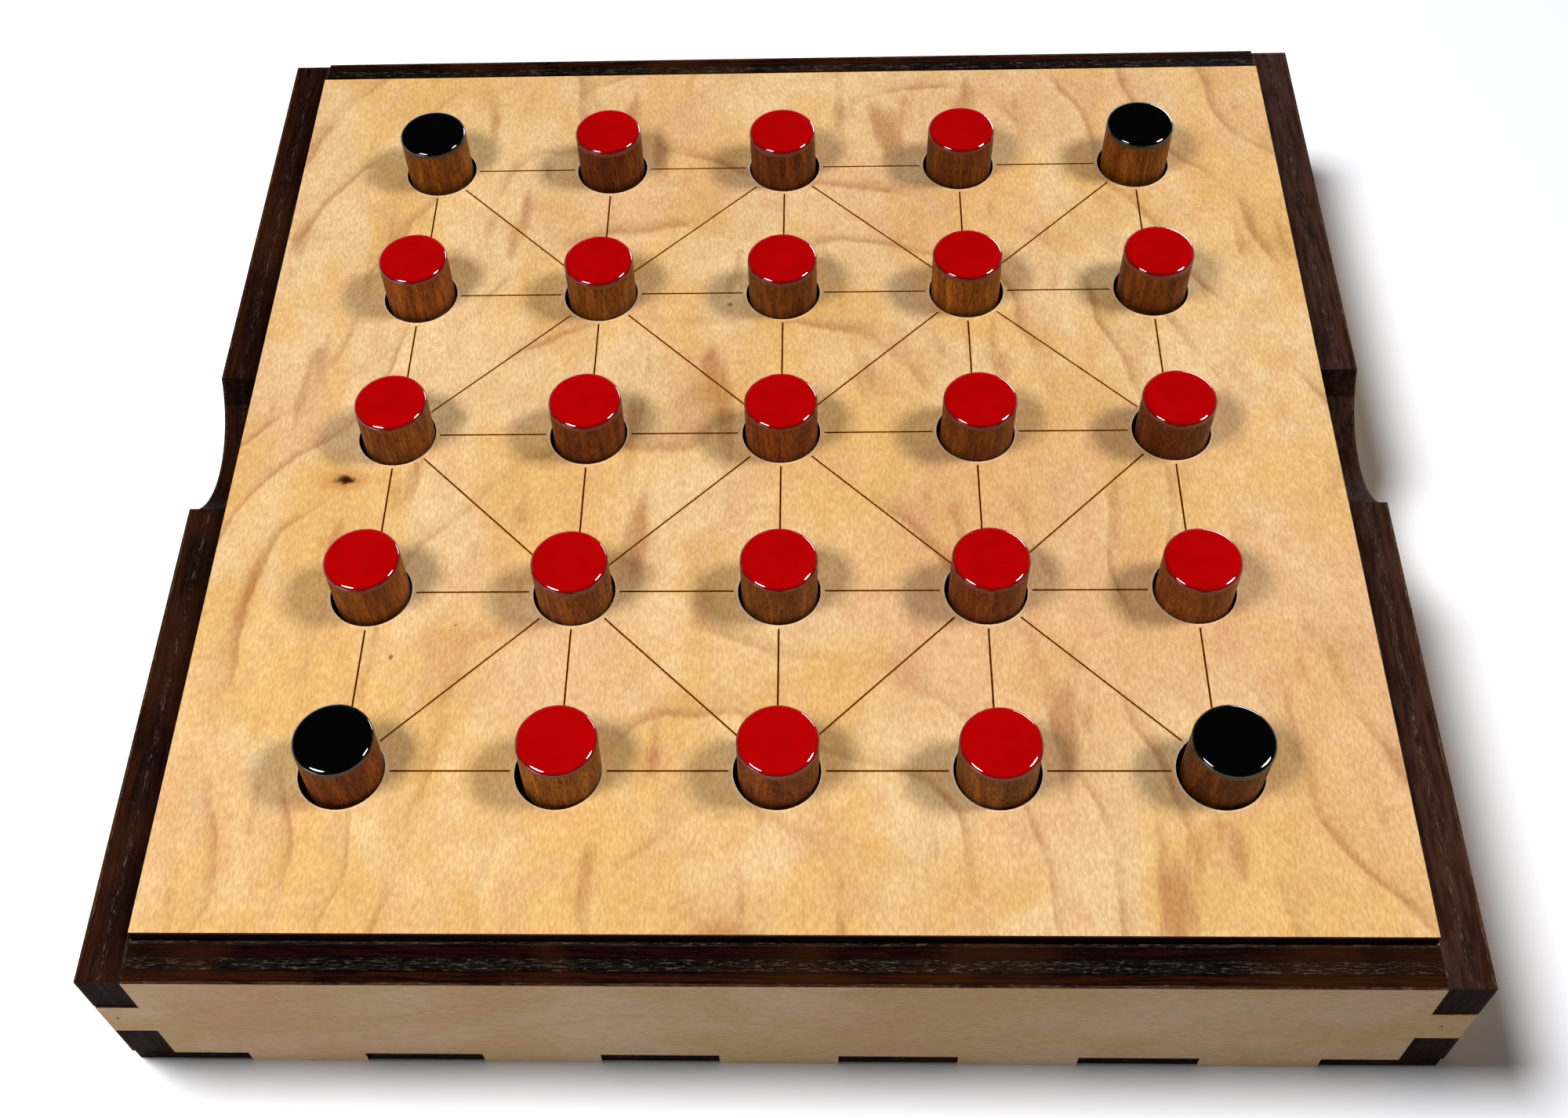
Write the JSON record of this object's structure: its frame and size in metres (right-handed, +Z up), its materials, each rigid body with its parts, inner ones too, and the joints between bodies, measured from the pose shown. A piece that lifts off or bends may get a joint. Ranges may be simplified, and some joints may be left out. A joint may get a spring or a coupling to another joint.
{
  "type": "bagh chal board game",
  "caption": "Square finger-jointed plywood box whose lift-out maple top is a peg game board, with enamel-topped wooden pegs standing in its holes.",
  "frame": {"origin": "centre of the box's underside, on the surface it stands on", "axes": "+Z up, the way the board and the pegs lift; +X to the right and +Y away from the player at the front"},
  "size_m": [0.2032, 0.2032, 0.0417],
  "materials": {
    "plywood": "satin",
    "block_wood": "matte",
    "maple_board": "satin",
    "red_enamel_peg": "gloss",
    "black_enamel_peg": "gloss"
  },
  "bodies": {
    "box": {"base_panel": "plywood", "front_wall": "plywood", "back_wall": "plywood", "left_wall": "plywood", "right_wall": "plywood", "corner_block_front_left": "block_wood", "corner_block_front_right": "block_wood", "corner_block_back_left": "block_wood", "corner_block_back_right": "block_wood"},
    "board": {"playing_panel": "maple_board", "backing_sheet": "plywood"},
    "tiger_peg_01": {"tiger_peg_01": "black_enamel_peg"},
    "tiger_peg_02": {"tiger_peg_02": "black_enamel_peg"},
    "tiger_peg_03": {"tiger_peg_03": "black_enamel_peg"},
    "tiger_peg_04": {"tiger_peg_04": "black_enamel_peg"},
    "goat_peg_01": {"goat_peg_01": "red_enamel_peg"},
    "goat_peg_02": {"goat_peg_02": "red_enamel_peg"},
    "goat_peg_03": {"goat_peg_03": "red_enamel_peg"},
    "goat_peg_04": {"goat_peg_04": "red_enamel_peg"},
    "goat_peg_05": {"goat_peg_05": "red_enamel_peg"},
    "goat_peg_06": {"goat_peg_06": "red_enamel_peg"},
    "goat_peg_07": {"goat_peg_07": "red_enamel_peg"},
    "goat_peg_08": {"goat_peg_08": "red_enamel_peg"},
    "goat_peg_09": {"goat_peg_09": "red_enamel_peg"},
    "goat_peg_10": {"goat_peg_10": "red_enamel_peg"},
    "goat_peg_11": {"goat_peg_11": "red_enamel_peg"},
    "goat_peg_12": {"goat_peg_12": "red_enamel_peg"},
    "goat_peg_13": {"goat_peg_13": "red_enamel_peg"},
    "goat_peg_14": {"goat_peg_14": "red_enamel_peg"},
    "goat_peg_15": {"goat_peg_15": "red_enamel_peg"},
    "goat_peg_16": {"goat_peg_16": "red_enamel_peg"},
    "goat_peg_17": {"goat_peg_17": "red_enamel_peg"},
    "goat_peg_18": {"goat_peg_18": "red_enamel_peg"},
    "goat_peg_19": {"goat_peg_19": "red_enamel_peg"},
    "goat_peg_20": {"goat_peg_20": "red_enamel_peg"},
    "goat_peg_21": {"goat_peg_21": "red_enamel_peg"}
  },
  "joints": [
    {"name": "board_lift", "type": "slide", "parent": "box", "child": "board", "axis": [0, 0, 1], "range_m": [0, 0.06]},
    {"name": "tiger_peg_01_lift", "type": "slide", "parent": "board", "child": "tiger_peg_01", "axis": [0, 0, 1], "range_m": [0, 0.025]},
    {"name": "tiger_peg_02_lift", "type": "slide", "parent": "board", "child": "tiger_peg_02", "axis": [0, 0, 1], "range_m": [0, 0.025]},
    {"name": "tiger_peg_03_lift", "type": "slide", "parent": "board", "child": "tiger_peg_03", "axis": [0, 0, 1], "range_m": [0, 0.025]},
    {"name": "tiger_peg_04_lift", "type": "slide", "parent": "board", "child": "tiger_peg_04", "axis": [0, 0, 1], "range_m": [0, 0.025]},
    {"name": "goat_peg_01_lift", "type": "slide", "parent": "board", "child": "goat_peg_01", "axis": [0, 0, 1], "range_m": [0, 0.025]},
    {"name": "goat_peg_02_lift", "type": "slide", "parent": "board", "child": "goat_peg_02", "axis": [0, 0, 1], "range_m": [0, 0.025]},
    {"name": "goat_peg_03_lift", "type": "slide", "parent": "board", "child": "goat_peg_03", "axis": [0, 0, 1], "range_m": [0, 0.025]},
    {"name": "goat_peg_04_lift", "type": "slide", "parent": "board", "child": "goat_peg_04", "axis": [0, 0, 1], "range_m": [0, 0.025]},
    {"name": "goat_peg_05_lift", "type": "slide", "parent": "board", "child": "goat_peg_05", "axis": [0, 0, 1], "range_m": [0, 0.025]},
    {"name": "goat_peg_06_lift", "type": "slide", "parent": "board", "child": "goat_peg_06", "axis": [0, 0, 1], "range_m": [0, 0.025]},
    {"name": "goat_peg_07_lift", "type": "slide", "parent": "board", "child": "goat_peg_07", "axis": [0, 0, 1], "range_m": [0, 0.025]},
    {"name": "goat_peg_08_lift", "type": "slide", "parent": "board", "child": "goat_peg_08", "axis": [0, 0, 1], "range_m": [0, 0.025]},
    {"name": "goat_peg_09_lift", "type": "slide", "parent": "board", "child": "goat_peg_09", "axis": [0, 0, 1], "range_m": [0, 0.025]},
    {"name": "goat_peg_10_lift", "type": "slide", "parent": "board", "child": "goat_peg_10", "axis": [0, 0, 1], "range_m": [0, 0.025]},
    {"name": "goat_peg_11_lift", "type": "slide", "parent": "board", "child": "goat_peg_11", "axis": [0, 0, 1], "range_m": [0, 0.025]},
    {"name": "goat_peg_12_lift", "type": "slide", "parent": "board", "child": "goat_peg_12", "axis": [0, 0, 1], "range_m": [0, 0.025]},
    {"name": "goat_peg_13_lift", "type": "slide", "parent": "board", "child": "goat_peg_13", "axis": [0, 0, 1], "range_m": [0, 0.025]},
    {"name": "goat_peg_14_lift", "type": "slide", "parent": "board", "child": "goat_peg_14", "axis": [0, 0, 1], "range_m": [0, 0.025]},
    {"name": "goat_peg_15_lift", "type": "slide", "parent": "board", "child": "goat_peg_15", "axis": [0, 0, 1], "range_m": [0, 0.025]},
    {"name": "goat_peg_16_lift", "type": "slide", "parent": "board", "child": "goat_peg_16", "axis": [0, 0, 1], "range_m": [0, 0.025]},
    {"name": "goat_peg_17_lift", "type": "slide", "parent": "board", "child": "goat_peg_17", "axis": [0, 0, 1], "range_m": [0, 0.025]},
    {"name": "goat_peg_18_lift", "type": "slide", "parent": "board", "child": "goat_peg_18", "axis": [0, 0, 1], "range_m": [0, 0.025]},
    {"name": "goat_peg_19_lift", "type": "slide", "parent": "board", "child": "goat_peg_19", "axis": [0, 0, 1], "range_m": [0, 0.025]},
    {"name": "goat_peg_20_lift", "type": "slide", "parent": "board", "child": "goat_peg_20", "axis": [0, 0, 1], "range_m": [0, 0.025]},
    {"name": "goat_peg_21_lift", "type": "slide", "parent": "board", "child": "goat_peg_21", "axis": [0, 0, 1], "range_m": [0, 0.025]}
  ]
}
